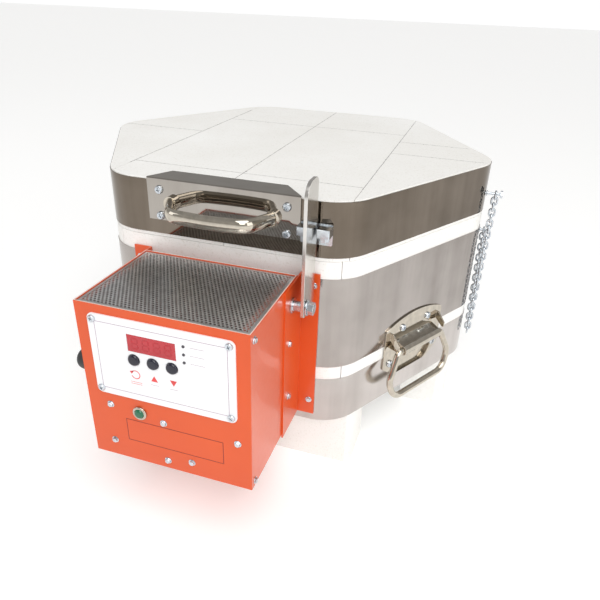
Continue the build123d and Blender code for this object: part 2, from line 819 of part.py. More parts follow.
with BuildPart() as pilot_bezel:
    with BuildSketch(face_plane(0, -box_front_y)):
        with Locations((pilot_x, pilot_z)):
            Circle(6.4)
    extrude(amount=2.0)
    fillet(pilot_bezel.faces().sort_by(Axis.Y)[0].edges(), 0.9)
    with BuildSketch(face_plane(0, -box_front_y)):
        with Locations((pilot_x, pilot_z)):
            Circle(5.0)
    extrude(amount=-16.0)
    with BuildSketch(face_plane(0, -box_front_y + 3)):
        with Locations((pilot_x, pilot_z)):
            Circle(4.5)
    extrude(amount=-6.0, mode=Mode.SUBTRACT)
save(pilot_bezel.part, "pilot_bezel")

with BuildPart() as pilot_lens:
    with BuildSketch(face_plane(0, -box_front_y - 2.8)):
        with Locations((pilot_x, pilot_z)):
            Circle(4.45)
    extrude(amount=6.4)
    fillet(pilot_lens.faces().sort_by(Axis.Y)[0].edges(), 2.4)
save(pilot_lens.part, "pilot_lens")

# ---------------------------------------------------------------- inside the control box
with BuildPart() as controller_board:
    with BuildSketch(face_plane(0, -board_y)):
        with Locations((0, controller_z)):
            Rectangle(100.0, 50.0)
    extrude(amount=1.6)
    with BuildSketch(face_plane(0, -board_y)):
        with Locations((-30.0, controller_z + 8), (26.0, controller_z - 10)):
            Rectangle(18.0, 12.0)
    extrude(amount=-8.0)
    with BuildSketch(face_plane(0, -board_y + 1.6)):
        with Locations([(x, button_z) for x in button_places.values()]):
            Rectangle(6.0, 6.0)
    extrude(amount=2.0)
save(controller_board.part, "controller_board")

relay_place, relay_height = (38.0, -262.0), 30.0
with BuildPart() as relay:
    with BuildSketch(Plane.XY.offset(box_bottom + box_sheet)):
        with Locations(relay_place):
            Rectangle(34.0, 40.0)
    extrude(amount=relay_height)
    fillet(relay.edges().filter_by(Axis.Z), 3.0)
    with BuildSketch(Plane.XY.offset(box_bottom + box_sheet + relay_height)):
        with Locations(relay_place):
            with GridLocations(16, 20, 2, 2):
                Rectangle(6.3, 0.8)
    extrude(amount=8.0)
save(relay.part, "relay")

block_place, block_height = (-30.0, -250.0), 16.0
with BuildPart() as terminal_block:
    with BuildSketch(Plane.XY.offset(box_bottom + box_sheet)):
        with Locations(block_place):
            Rectangle(58.0, 22.0)
    extrude(amount=block_height)
    with BuildSketch(Plane.XY.offset(box_bottom + box_sheet + block_height)):
        with Locations(block_place):
            with GridLocations(13.0, 0, 4, 1):
                Circle(3.6)
    extrude(amount=-5.0, mode=Mode.SUBTRACT)
save(terminal_block.part, "terminal_block")

wire_radius = 1.3
wire_routes = [
    ((-49.5, -250.0, 24.0), (-49.5, -250.0, 62.0), (-54.0, -280.0, 88.0), (-68.0, -292.0, 92.0)),
    ((-36.5, -250.0, 24.0), (-36.5, -250.0, 60.0), (-30.0, -224.0, 66.0), (-30.0, -224.0, 81.0)),
    ((30.0, -252.0, 51.0), (30.0, -252.0, 64.0), (30.0, -224.0, 66.0), (30.0, -224.0, 81.0)),
    ((0.0, -226.2, 123.0), (0.0, -246.0, 123.0), (-28.0, -274.0, 124.8), (-28.0, -292.8, 124.8)),
]
with BuildPart() as hookup_wires:
    for route in wire_routes:
        with BuildLine() as wire_line:
            FilletPolyline(*route, radius=6.0)
        wire_path = wire_line.wires()[0]
        with BuildSketch(Plane(origin=wire_path @ 0, z_dir=wire_path % 0)):
            Circle(wire_radius)
        sweep(path=wire_path)
save(hookup_wires.part, "hookup_wires")

with BuildPart() as cord_gland:
    with BuildSketch(Plane.XZ.offset(-gland_y)):
        with BuildLine():
            Polyline(
                (-box_half_width, gland_z + 4.5),
                (-box_half_width, gland_z + 12.5),
                (-box_half_width - 4.0, gland_z + 12.5),
                (-box_half_width - 5.0, gland_z + 11.0),
                (-box_half_width - 15.0, gland_z + 9.4),
            )
            RadiusArc(
                (-box_half_width - 15.0, gland_z + 9.4), (-box_half_width - 20.0, gland_z + 4.5), -6.5
            )
            Line((-box_half_width - 20.0, gland_z + 4.5), (-box_half_width, gland_z + 4.5))
        make_face()
    gland_axis = Axis((0, gland_y, gland_z), (1, 0, 0))
    revolve(axis=gland_axis)
    with BuildSketch(Plane.YZ.offset(-box_half_width)):
        with Locations((gland_y, gland_z)):
            Circle(gland_neck_radius)
            Circle(4.5, mode=Mode.SUBTRACT)
    extrude(amount=9.0)
save(cord_gland.part, "cord_gland")

# ---------------------------------------------------------------- prop arm and its pivot
with BuildPart() as prop_arm:
    with BuildSketch(Plane.YZ.offset(arm_inner_x)):
        with BuildLine():
            FilletPolyline(
                (arm_front_y, arm_bottom),
                (arm_front_y, arm_top),
                (arm_back_y, arm_top),
                (arm_back_y, arm_bottom),
                radius=(3.0, 13.0, 7.0, 10.0),
                close=True,
            )
        make_face()
        with Locations(pivot_place):
            Circle(pivot_radius + running_gap, mode=Mode.SUBTRACT)
    extrude(amount=arm_thickness)
save(prop_arm.part, "prop_arm")

arm_outer_x = arm_inner_x + arm_thickness
play = 0.3
with BuildPart() as pivot_bolt:
    with BuildSketch(Plane.YZ.offset(inner_half - 3.4)):
        with Locations(pivot_place):
            RegularPolygon(5.8, 6)
    extrude(amount=3.4)
    with BuildSketch(Plane.YZ.offset(inner_half)):
        with Locations(pivot_place):
            Circle(pivot_radius)
    extrude(amount=arm_outer_x + 7.0 - inner_half)
save(pivot_bolt.part, "pivot_bolt")

spacer_start = box_half_width + bracket_sheet
with BuildPart() as pivot_hardware:
    with BuildSketch(Plane.YZ.offset(spacer_start)):
        with Locations(pivot_place):
            Circle(7.0)
            Circle(pivot_radius + running_gap, mode=Mode.SUBTRACT)
    extrude(amount=1.8)
    with BuildSketch(Plane.YZ.offset(spacer_start + 1.8)):
        with Locations(pivot_place):
            Circle(4.6)
            Circle(pivot_radius + running_gap, mode=Mode.SUBTRACT)
    extrude(amount=arm_inner_x - play - spacer_start - 1.8)
    with BuildSketch(Plane.YZ.offset(arm_outer_x + play)):
        with Locations(pivot_place):
            Circle(7.0)
            Circle(pivot_radius + running_gap, mode=Mode.SUBTRACT)
    extrude(amount=1.5)
    with BuildSketch(Plane.YZ.offset(arm_outer_x + play + 1.6)):
        with Locations(pivot_place):
            RegularPolygon(5.8, 6)
            Circle(pivot_radius + running_gap, mode=Mode.SUBTRACT)
    extrude(amount=5.2)
save(pivot_hardware.part, "pivot_hardware")

# ---------------------------------------------------------------- how the chain follows the lid
lid_arm = (lid_bolt_y - hinge_y, lid_bolt_z - hinge_z)
turned = radians(-lid_opening)
opened = (
    hinge_y + lid_arm[0] * cos(turned) - lid_arm[1] * sin(turned),
    hinge_z + lid_arm[0] * sin(turned) + lid_arm[1] * cos(turned),
)
run = (opened[0] - body_bolt_y, opened[1] - body_bolt_z)
lower_swing = 90 + degrees(atan2(run[1], run[0]))
upper_swing = lid_opening - (180 - lower_swing)
print("lid opens", lid_opening, "lower strand swings", round(lower_swing, 3))
print("upper strand swings back on the lid", round(upper_swing, 3), "bolts apart", round(hypot(*run), 2))
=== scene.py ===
"""A small hexagonal pottery kiln: finishes, lamps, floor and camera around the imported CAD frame."""

import json
import random
from math import cos, pi, radians, sin, sqrt, tan

import bmesh
import bpy
from mathutils import Matrix, Vector, noise


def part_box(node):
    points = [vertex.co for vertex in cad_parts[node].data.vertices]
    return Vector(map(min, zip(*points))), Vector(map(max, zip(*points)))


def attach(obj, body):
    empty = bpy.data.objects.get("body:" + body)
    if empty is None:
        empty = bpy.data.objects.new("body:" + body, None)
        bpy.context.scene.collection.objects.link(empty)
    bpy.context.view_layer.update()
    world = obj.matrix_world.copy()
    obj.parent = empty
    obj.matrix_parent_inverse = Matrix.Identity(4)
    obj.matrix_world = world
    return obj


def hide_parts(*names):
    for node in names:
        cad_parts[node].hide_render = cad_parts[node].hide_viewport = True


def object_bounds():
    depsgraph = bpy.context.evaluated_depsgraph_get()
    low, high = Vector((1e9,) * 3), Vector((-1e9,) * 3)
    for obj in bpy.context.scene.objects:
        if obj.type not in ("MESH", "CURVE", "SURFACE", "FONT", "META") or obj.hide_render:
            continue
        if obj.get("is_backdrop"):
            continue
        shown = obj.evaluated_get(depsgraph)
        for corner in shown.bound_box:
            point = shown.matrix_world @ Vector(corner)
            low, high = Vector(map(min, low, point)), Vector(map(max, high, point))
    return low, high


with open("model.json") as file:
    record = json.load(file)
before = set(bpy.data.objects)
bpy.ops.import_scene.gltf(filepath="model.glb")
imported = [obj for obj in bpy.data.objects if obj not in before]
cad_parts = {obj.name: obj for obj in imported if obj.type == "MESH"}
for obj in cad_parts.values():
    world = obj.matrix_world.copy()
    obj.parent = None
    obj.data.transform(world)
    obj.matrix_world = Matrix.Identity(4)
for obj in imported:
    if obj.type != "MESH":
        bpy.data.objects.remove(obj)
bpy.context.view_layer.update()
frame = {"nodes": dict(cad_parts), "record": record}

MM = 0.001
nodes = frame["nodes"]
record = frame["record"]
bodies = record["behaviour"]["bodies"]
body_of = {node: body for body, members in bodies.items() for node in members}
slot_of = {row["node"]: row["material_slot"] for row in record["subparts"]}
colour_of = {row["slot"]: row["base_color"] for row in record["materials"]}
rng = random.Random(7)


# ================================================================ camera, lights and floor
def make_camera():
    """The camera that the kiln is seen from, a little above it and to its right."""
    place = (0.2086, -0.6371, 0.3773)
    azimuth, drop, roll = radians(16.972), radians(27.984), radians(2.008)
    forward = Vector((-sin(azimuth) * cos(drop), cos(azimuth) * cos(drop), -sin(drop)))
    level = Vector((cos(azimuth), sin(azimuth), 0))
    upright = level.cross(forward)
    right = level * cos(roll) + upright * sin(roll)
    up = upright * cos(roll) - level * sin(roll)
    turn = Matrix((right, up, -forward)).transposed().to_4x4()
    data = bpy.data.cameras.new("camera")
    data.lens = 34.74
    data.sensor_width = 36.0
    data.clip_start = 0.01
    camera = bpy.data.objects.new("camera", data)
    camera.matrix_world = Matrix.Translation(place) @ turn
    bpy.context.scene.collection.objects.link(camera)
    bpy.context.scene.camera = camera


def make_lamp(name, place, target, size, watts, tint=(1, 1, 1)):
    """A soft square lamp that looks at a point."""
    data = bpy.data.lights.new(name, "AREA")
    data.shape = "SQUARE"
    data.size = size
    data.energy = watts
    data.color = tint
    lamp = bpy.data.objects.new(name, data)
    away = Vector(place) - Vector(target)
    turn = away.to_track_quat("Z", "Y").to_matrix().to_4x4()
    lamp.matrix_world = Matrix.Translation(place) @ turn
    bpy.context.scene.collection.objects.link(lamp)


def make_world():
    """Pale studio air: white at the horizon and greyer above it, so that bright metal has shape."""
    world = bpy.data.worlds.new("studio")
    world.use_nodes = True
    bpy.context.scene.world = world
    tree = world.node_tree
    place = tree.nodes.new("ShaderNodeTexCoord")
    split = tree.nodes.new("ShaderNodeSeparateXYZ")
    ramp = tree.nodes.new("ShaderNodeValToRGB")
    tree.links.new(place.outputs["Generated"], split.inputs[0])
    tree.links.new(split.outputs["Z"], ramp.inputs[0])
    tree.links.new(ramp.outputs[0], tree.nodes["Background"].inputs["Color"])
    horizon, overhead = 0.93, 0.33
    stops = ramp.color_ramp.elements
    stops[0].position, stops[0].color = 0.0, (horizon, horizon, horizon, 1)
    stops[1].position, stops[1].color = 1.0, (overhead, overhead, overhead, 1)
    for rise, grey in ((0.08, 0.60), (0.26, 0.34), (0.44, 0.42)):
        stop = stops.new(rise)
        stop.color = (grey, grey * 0.99, grey * 0.97, 1)
    tree.nodes["Background"].inputs["Strength"].default_value = 1.1


def make_sun(direction, strength, spread):
    """Even light over the whole floor. Its angle is so wide that its shadows stay soft."""
    data = bpy.data.lights.new("sky_panel", "SUN")
    data.energy = strength
    data.angle = radians(spread)
    sun = bpy.data.objects.new("sky_panel", data)
    sun.matrix_world = Vector(direction).to_track_quat("Z", "Y").to_matrix().to_4x4()
    bpy.context.scene.collection.objects.link(sun)


def make_floor(height):
    """A wide pale floor that glows faintly, so that it stays white where the lamps fall off."""
    mesh = bpy.data.meshes.new("floor")
    far = 12.0
    corners = [(-far, -far, height), (far, -far, height), (far, far, height), (-far, far, height)]
    mesh.from_pydata(corners, [], [(0, 1, 2, 3)])
    floor = bpy.data.objects.new("floor", mesh)
    bpy.context.scene.collection.objects.link(floor)
    surface = bpy.data.materials.new("floor")
    surface.use_nodes = True
    shader = surface.node_tree.nodes["Principled BSDF"]
    shader.inputs["Base Color"].default_value = (0.93, 0.93, 0.925, 1)
    shader.inputs["Roughness"].default_value = 0.75
    shader.inputs["Emission Color"].default_value = (1, 1, 1, 1)
    shader.inputs["Emission Strength"].default_value = 0.17
    mesh.materials.append(surface)
    floor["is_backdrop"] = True


make_camera()
make_world()
make_floor(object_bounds()[0][2])
make_sun((0.25, -0.45, 1.0), 1.40, 50)
make_lamp("key", (0.7, -1.6, 1.3), (0, -0.05, 0.1), 0.9, 8)
make_lamp("right", (1.7, -0.9, 0.8), (0.05, 0, 0.1), 1.1, 6)
make_lamp("left", (-1.7, -1.0, 1.0), (0, 0, 0.1), 1.0, 4, (0.97, 0.98, 1.0))
bpy.context.scene.view_settings.view_transform = "Standard"


# ================================================================ materials
class Surface:
    """A Principled material with short calls for the textures that these finishes share."""

    def __init__(self, name, colour, metallic=0.0, roughness=0.5, **constants):
        self.material = bpy.data.materials.new(name)
        self.material.use_nodes = True
        self.tree = self.material.node_tree
        self.shader = self.tree.nodes["Principled BSDF"]
        self.shader.inputs["Base Color"].default_value = (*colour, 1)
        self.shader.inputs["Metallic"].default_value = metallic
        self.shader.inputs["Roughness"].default_value = roughness
        for key, value in constants.items():
            self.shader.inputs[key.replace("_", " ")].default_value = value
        self.place = self.tree.nodes.new("ShaderNodeTexCoord")

    def node(self, kind, **settings):
        made = self.tree.nodes.new(kind)
        for key, value in settings.items():
            setattr(made, key, value)
        return made

    def coordinates(self, stretch=(1, 1, 1)):
        mapping = self.node("ShaderNodeMapping")
        mapping.inputs["Scale"].default_value = stretch
        self.tree.links.new(self.place.outputs["Object"], mapping.inputs["Vector"])
        return mapping.outputs[0]

    def noise(self, scale, detail=4, rough=0.55, stretch=(1, 1, 1)):
        made = self.node("ShaderNodeTexNoise")
        made.inputs["Scale"].default_value = scale
        made.inputs["Detail"].default_value = detail
        made.inputs["Roughness"].default_value = rough
        self.tree.links.new(self.coordinates(stretch), made.inputs["Vector"])
        return made.outputs[0]

    def pits(self, scale, stretch=(1, 1, 1), random_place=1.0):
        made = self.node("ShaderNodeTexVoronoi")
        made.inputs["Scale"].default_value = scale
        made.inputs["Randomness"].default_value = random_place
        self.tree.links.new(self.coordinates(stretch), made.inputs["Vector"])
        return made.outputs["Distance"]

    def ramp(self, value, stops):
        made = self.node("ShaderNodeValToRGB")
        elements = made.color_ramp.elements
        for index, (position, colour) in enumerate(stops):
            element = elements[index] if index < 2 else elements.new(position)
            element.position = position
            grey = isinstance(colour, (int, float))
            element.color = (colour, colour, colour, 1) if grey else (*colour, 1)
        self.tree.links.new(value, made.inputs[0])
        return made.outputs[0]

    def mix(self, amount, first, second, blend="MIX"):
        made = self.node("ShaderNodeMix", data_type="RGBA", blend_type=blend)
        for index, value in ((0, amount), (6, first), (7, second)):
            socket = made.inputs[index]
            if hasattr(value, "node"):
                self.tree.links.new(value, socket)
            elif isinstance(value, tuple):
                socket.default_value = (*value, 1)
            else:
                socket.default_value = value
        return made.outputs[2]

    def colour(self, value):
        self.tree.links.new(value, self.shader.inputs["Base Color"])

    def roughness(self, value, low, high):
        spread = self.node("ShaderNodeMapRange")
        spread.inputs["To Min"].default_value = low
        spread.inputs["To Max"].default_value = high
        self.tree.links.new(value, spread.inputs["Value"])
        self.tree.links.new(spread.outputs[0], self.shader.inputs["Roughness"])

    def bump(self, *layers):
        """Each layer is a height, a distance in millimetres and a strength."""
        previous = None
        for height, distance, strength in layers:
            made = self.node("ShaderNodeBump")
            made.inputs["Distance"].default_value = distance * MM
            made.inputs["Strength"].default_value = strength
            self.tree.links.new(height, made.inputs["Height"])
            if previous:
                self.tree.links.new(previous, made.inputs["Normal"])
            previous = made.outputs[0]
        self.tree.links.new(previous, self.shader.inputs["Normal"])


def firebrick():
    """Soft white insulating brick: open pores darkened with painted shade, faint saw marks and small
    grey stains.
    """
    s = Surface("firebrick", colour_of["firebrick"][:3], roughness=0.93)
    blotch = s.ramp(s.noise(7, 5), [(0.30, (0.86, 0.845, 0.81)), (0.72, (0.94, 0.935, 0.915))])
    speck = s.ramp(s.noise(520, 3), [(0.30, (0.80, 0.775, 0.73)), (0.44, (1.0, 1.0, 1.0))])
    grain = s.mix(0.5, blotch, speck, "MULTIPLY")
    pore_size = s.pits(480)
    # The pores are painted darker: painted shade inside the open pores.
    pore_shade = s.ramp(pore_size, [(0.06, (0.62, 0.60, 0.56)), (0.17, (1.0, 1.0, 1.0))])
    saw_marks = s.noise(30, 8, 0.72, (1.0, 7.0, 1.0))
    scratch = s.ramp(saw_marks, [(0.655, (1.0, 1.0, 1.0)), (0.70, (0.80, 0.79, 0.78))])
    s.colour(s.mix(0.7, s.mix(0.55, grain, pore_shade, "MULTIPLY"), scratch, "MULTIPLY"))
    s.bump((s.noise(260, 5), 0.4, 0.45), (s.ramp(pore_size, [(0.05, 0.0), (0.20, 1.0)]), 0.5, 0.5))
    return s.material


def mortar():
    """Grey cement with darker crumbs in it."""
    s = Surface("mortar", (0.42, 0.40, 0.37), roughness=0.95)
    crumbs = s.noise(330, 5, 0.7)
    s.colour(s.ramp(crumbs, [(0.36, (0.17, 0.16, 0.15)), (0.60, (0.58, 0.565, 0.54))]))
    s.bump((s.noise(500, 3), 0.3, 0.5))
    return s.material


def stainless(name, dark, light, low, high, ripple=0.10):
    """Bright rolled sheet: upright streaks and clouds of painted reflection in the colour, fine
    grain, faint smears and slight ripples.
    """
    s = Surface(name, light, metallic=1.0, roughness=low)
    upright = (1, 1, 0.05)
    # The upright streaks and the cloud mixed into the colour are painted reflection of the floor, not
    # a tone of the sheet itself.
    painted_reflection_streaks = s.noise(34, 5, 0.6, upright)
    cloud = s.noise(8, 4, 0.6)
    s.colour(s.ramp(s.mix(0.6, painted_reflection_streaks, cloud), [(0.34, dark), (0.66, light)]))
    grain = s.noise(90, 3, 0.6, (1, 1, 22))
    smear = s.noise(26, 6, 0.7, (1, 1, 0.5))
    s.roughness(s.mix(0.5, grain, smear), low, high)
    s.bump((grain, 0.012, 0.12), (s.noise(11, 2), 0.5, ripple))
    return s.material


def plated(name, colour, low, high, scale=160):
    """Plated steel: small ripples, handling marks and cloudy patches in the gloss."""
    s = Surface(name, colour, metallic=1.0, roughness=low)
    cloud = s.noise(scale, 4)
    duller = tuple(c * 0.74 for c in colour)
    s.colour(s.ramp(cloud, [(0.25, duller), (0.70, colour)]))
    s.roughness(s.noise(scale * 2.4, 4), low, high)
    s.bump((s.noise(scale * 1.7, 3), 0.05, 0.18))
    return s.material


def orange_paint():
    """Glossy orange powder coat with a light orange-peel skin."""
    gloss = {"Coat_Weight": 0.35, "Coat_Roughness": 0.05, "Specular_IOR_Level": 0.3}
    s = Surface("orange_paint", (0.69, 0.087, 0.014), roughness=0.30, **gloss)
    drift = s.noise(9, 3)
    s.colour(s.ramp(drift, [(0.25, (0.66, 0.078, 0.012)), (0.78, (0.72, 0.096, 0.016))]))
    s.roughness(s.noise(240, 3), 0.26, 0.36)
    s.bump((s.noise(700, 2), 0.05, 0.10))
    return s.material


def enamel_panel():
    """Satin white faceplate with a very fine texture."""
    gloss = {"Coat_Weight": 0.2, "Coat_Roughness": 0.2}
    s = Surface("panel_print", (0.86, 0.87, 0.885), roughness=0.38, **gloss)
    s.colour(s.ramp(s.noise(30, 4), [(0.3, (0.83, 0.84, 0.86)), (0.7, (0.885, 0.89, 0.90))]))
    s.roughness(s.noise(700, 2), 0.32, 0.46)
    s.bump((s.noise(900, 2), 0.03, 0.12))
    return s.material


def moulded(name, colour, low, high, scale=600, depth=0.05, **constants):
    """Moulded plastic: a fine spark texture and slight tone changes."""
    s = Surface(name, colour, roughness=low, **constants)
    paler = tuple(min(1.0, c * 1.25 + 0.004) for c in colour)
    s.colour(s.ramp(s.noise(scale * 0.12, 4), [(0.3, colour), (0.75, paler)]))
    s.roughness(s.noise(scale, 3), low, high)
    s.bump((s.noise(scale, 3), depth, 0.3))
    return s.material


def circuit_board():
    """Green solder mask with darker copper tracks under it."""
    s = Surface("circuit_board", (0.02, 0.16, 0.06), roughness=0.3, Coat_Weight=0.4)
    tracks = s.pits(240, (1, 1, 1), 0.15)
    s.colour(s.ramp(tracks, [(0.28, (0.03, 0.24, 0.10)), (0.36, (0.012, 0.11, 0.045))]))
    s.bump((s.noise(300, 2), 0.05, 0.2))
    return s.material


def woven_sleeve():
    """Pale glass-fibre sleeving with a crossing weave."""
    s = Surface("wire_sleeve", (0.72, 0.68, 0.60), roughness=0.85)
    weave = s.node("ShaderNodeTexWave", wave_type="BANDS", bands_direction="DIAGONAL")
    weave.inputs["Scale"].default_value = 420
    s.tree.links.new(s.coordinates(), weave.inputs["Vector"])
    s.colour(s.ramp(weave.outputs["Fac"], [(0.3, (0.50, 0.46, 0.39)), (0.7, (0.78, 0.75, 0.68))]))
    s.bump((weave.outputs["Fac"], 0.12, 0.5))
    return s.material


finish = {
    "firebrick": firebrick(),
    "body_sheet": stainless("body_sheet", (0.27, 0.242, 0.222), (0.49, 0.45, 0.425), 0.12, 0.20),
    "lid_sheet": stainless(
        "lid_sheet", (0.118, 0.095, 0.073), (0.23, 0.193, 0.157), 0.03, 0.08, 0.06),
    "polished_plate": stainless(
        "polished_plate", (0.31, 0.28, 0.25), (0.44, 0.41, 0.375), 0.02, 0.07, 0.05),
    "nickel": plated("nickel", (0.62, 0.565, 0.48), 0.03, 0.10),
    "zinc": plated("zinc", (0.68, 0.725, 0.77), 0.14, 0.30, 260),
    "grille": plated("grille", (0.78, 0.785, 0.785), 0.26, 0.42),
    "orange_paint": orange_paint(),
    "panel_print": enamel_panel(),
    "display_red": moulded(
        "display_red", (0.42, 0.010, 0.019), 0.10, 0.20, 500, 0.02, Coat_Weight=0.5),
    "button_black": moulded(
        "button_black", (0.003, 0.003, 0.014), 0.10, 0.18, 700, 0.02, Coat_Weight=0.2),
    "pilot_green": moulded(
        "pilot_green", (0.002, 0.105, 0.045), 0.06, 0.16, 300, 0.03, Coat_Weight=0.4),
    "black_plastic": moulded("black_plastic", (0.018, 0.018, 0.018), 0.38, 0.55),
    "pale_plastic": moulded("pale_plastic", (0.74, 0.71, 0.63), 0.40, 0.60),
    "circuit_board": circuit_board(),
    "wire_sleeve": woven_sleeve(),
    "element_wire": plated("element_wire", (0.24, 0.215, 0.195), 0.45, 0.70, 500),
    "probe_sheath": moulded("probe_sheath", (0.66, 0.57, 0.45), 0.55, 0.75, 300),
}
cement = mortar()
ink_grey = moulded("ink_grey", (0.36, 0.25, 0.33), 0.45, 0.60)
ink_red = moulded("ink_red", (0.66, 0.060, 0.060), 0.40, 0.55)
ink_dark_red = moulded("ink_dark_red", (0.19, 0.012, 0.006), 0.45, 0.60)
lamp_grey = moulded("lamp_grey", (0.060, 0.055, 0.065), 0.20, 0.35)


# ================================================================ building pieces
def face_matrix(side, off, along=0.0, height=0.0):
    """A frame on one of the six sides, in millimetres: X along the side, Y up and Z out of it."""
    angle = radians(-90 + 60 * side)
    out = Vector((cos(angle), sin(angle), 0))
    across = Vector((-sin(angle), cos(angle), 0))
    up = Vector((0, 0, 1))
    turn = Matrix((across, up, out)).transposed().to_4x4()
    return Matrix.Translation(out * off + across * along + up * height) @ turn


def place_piece(name, mesh, body, slot, surface=None, stands_for=()):
    """Puts a finished mesh in the scene, on its body, in its material slot."""
    mesh.materials.clear()
    mesh.materials.append(surface or finish[slot])
    piece = bpy.data.objects.new(name, mesh)
    bpy.context.scene.collection.objects.link(piece)
    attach(piece, body)
    if stands_for:
        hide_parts(*stands_for)
    return piece


def built(name, shape, body, slot, surface=None, stands_for=(), sharp=35, bevel=0.0):
    """Turns a bmesh in millimetres into a piece, with soft shading except at real edges."""
    bmesh.ops.scale(shape, vec=(MM, MM, MM), verts=shape.verts)
    bmesh.ops.recalc_face_normals(shape, faces=shape.faces)
    mesh = bpy.data.meshes.new(name)
    shape.to_mesh(mesh)
    shape.free()
    mesh.shade_smooth()
    mesh.set_sharp_from_angle(angle=radians(sharp))
    piece = place_piece(name, mesh, body, slot, surface, stands_for)
    if bevel:
        round_edges(piece, bevel)
    return piece


def round_edges(piece, width):
    """A bevel on every real edge, in millimetres."""
    rounding = piece.modifiers.new("round_edges", "BEVEL")
    rounding.width = width * MM
    rounding.segments = 2
    rounding.limit_method = "ANGLE"
    rounding.angle_limit = radians(40)
    rounding.harden_normals = True
    rounding.use_clamp_overlap = True


def dressed(node, width=0.3, surface=None):
    """A copy of a CAD node with clean faces, rounded edges and its real finish."""
    mesh = nodes[node].data.copy()
    if "custom_normal" in mesh.attributes:
        mesh.attributes.remove(mesh.attributes["custom_normal"])
    shape = bmesh.new()
    shape.from_mesh(mesh)
    bmesh.ops.remove_doubles(shape, verts=shape.verts, dist=2e-6)
    bmesh.ops.dissolve_limit(shape, angle_limit=radians(0.6), verts=shape.verts, edges=shape.edges)
    shape.to_mesh(mesh)
    shape.free()
    mesh.shade_smooth()
    mesh.set_sharp_from_angle(angle=radians(35))
    piece = place_piece(f"{node}_finished", mesh, body_of[node], slot_of[node], surface, (node,))
    if width:
        round_edges(piece, width)
    return piece


def add_rings(shape, rings, closed=True, capped=False):
    """Joins a list of point rings, each as long as the next, with quads."""
    layers = [[shape.verts.new(point) for point in ring] for ring in rings]
    count = len(layers[0])
    pairs = list(zip(layers, layers[1:]))
    if closed:
        pairs.append((layers[-1], layers[0]))
    for low, high in pairs:
        for i in range(count):
            j = (i + 1) % count
            shape.faces.new((low[i], low[j], high[j], high[i]))
    if capped and not closed:
        shape.faces.new(layers[0][::-1])
        shape.faces.new(layers[-1])
    return layers


def add_tube(shape, path, radius, sides=8, closed=False):
    """A round tube along a list of points. One side direction is carried along, so it can't twist."""
    count = len(path)
    side = None
    rings = []
    for index, point in enumerate(path):
        before = path[index - 1] if closed or index else point
        after = path[(index + 1) % count] if closed or index < count - 1 else point
        ahead = (after - before).normalized()
        if side is None:
            side = ahead.orthogonal().normalized()
        side = (side - ahead * side.dot(ahead)).normalized()
        other = ahead.cross(side)
        turns = [2 * pi * k / sides for k in range(sides)]
        rings.append([point + side * (radius * cos(a)) + other * (radius * sin(a)) for a in turns])
    add_rings(shape, rings, closed=closed, capped=True)


def add_lathe(shape, matrix, profile, sides=24):
    """Turns a profile of radius and height round the matrix's Z."""
    turns = [2 * pi * k / sides for k in range(sides)]
    rings = [[matrix @ Vector((r * cos(a), r * sin(a), h)) for a in turns] for r, h in profile]
    return add_rings(shape, rings, closed=False)


def add_prism(shape, matrix, outline, low, high):
    """A closed prism over an outline in the matrix's XY."""
    rings = [[matrix @ Vector((x, y, z)) for x, y in outline] for z in (low, high)]
    add_rings(shape, rings, closed=False, capped=True)


def rectangle(low_x, high_x, low_y, high_y):
    return [(low_x, low_y), (high_x, low_y), (high_x, high_y), (low_x, high_y)]


def add_pan_head(shape, matrix, radius, height, twist):
    """A round screw head with a cross recess and a short shank under it."""
    sides = 24
    profile = [(0.45, -0.8), (1.0, 0.0), (1.0, 0.30), (0.95, 0.62), (0.82, 0.88), (0.62, 1.0)]
    layers = add_lathe(shape, matrix, [(radius * r, height * h) for r, h in profile], sides)
    shape.faces.new(layers[0][::-1])
    arm, half = radius * 0.46, radius * 0.11
    corner = [(arm, -half), (arm, half), (half, half)]
    outline = []
    for quarter in range(4):
        angle = twist + quarter * pi / 2
        c, s = cos(angle), sin(angle)
        outline += [(x * c - y * s, x * s + y * c) for x, y in corner]
    top = [shape.verts.new(matrix @ Vector((x, y, height))) for x, y in outline]
    deep = [shape.verts.new(matrix @ Vector((x * 0.7, y * 0.7, height * 0.45))) for x, y in outline]
    edges = []
    for ring in (layers[-1], top):
        for i, vert in enumerate(ring):
            after = ring[(i + 1) % len(ring)]
            edges.append(shape.edges.get((vert, after)) or shape.edges.new((vert, after)))
    bmesh.ops.triangle_fill(shape, use_beauty=True, edges=edges)
    for i in range(len(top)):
        j = (i + 1) % len(top)
        shape.faces.new((top[i], top[j], deep[j], deep[i]))
    shape.faces.new(deep)


def add_hex_head(shape, matrix, radius, height, twist):
    """A hexagon head on a round flange with a domed top."""
    flange = [(0.4, -0.8), (1.0, 0.0), (1.0, 0.16), (0.94, 0.24), (0.74, 0.26)]
    layers = add_lathe(shape, matrix, [(radius * r, height * h) for r, h in flange])
    shape.faces.new(layers[0][::-1])
    shape.faces.new(layers[-1])
    sides = 6
    rings = []
    for reach, level in ((0.76, 0.26), (0.76, 0.86), (0.66, 1.0), (0.30, 0.97)):
        rings.append([
            matrix @ Vector((
                radius * reach * cos(twist + 2 * pi * k / sides),
                radius * reach * sin(twist + 2 * pi * k / sides),
                height * level,
            ))
            for k in range(sides)
        ])
    add_rings(shape, rings, closed=False, capped=True)


def screws(name, node, heads, add_head, radius, height):
    """Replaces a CAD node of screws by detailed heads at the same places."""
    shape = bmesh.new()
    for matrix in heads:
        add_head(shape, matrix, radius, height, rng.uniform(0, pi / 2))
    return built(name, shape, body_of[node], "zinc", stands_for=(node,), sharp=28)


# ================================================================ brickwork
apothem, corner, sheet = 195.0, 45.0, 0.8
for name in sorted(nodes):
    if "brick" in name:
        dressed(name)


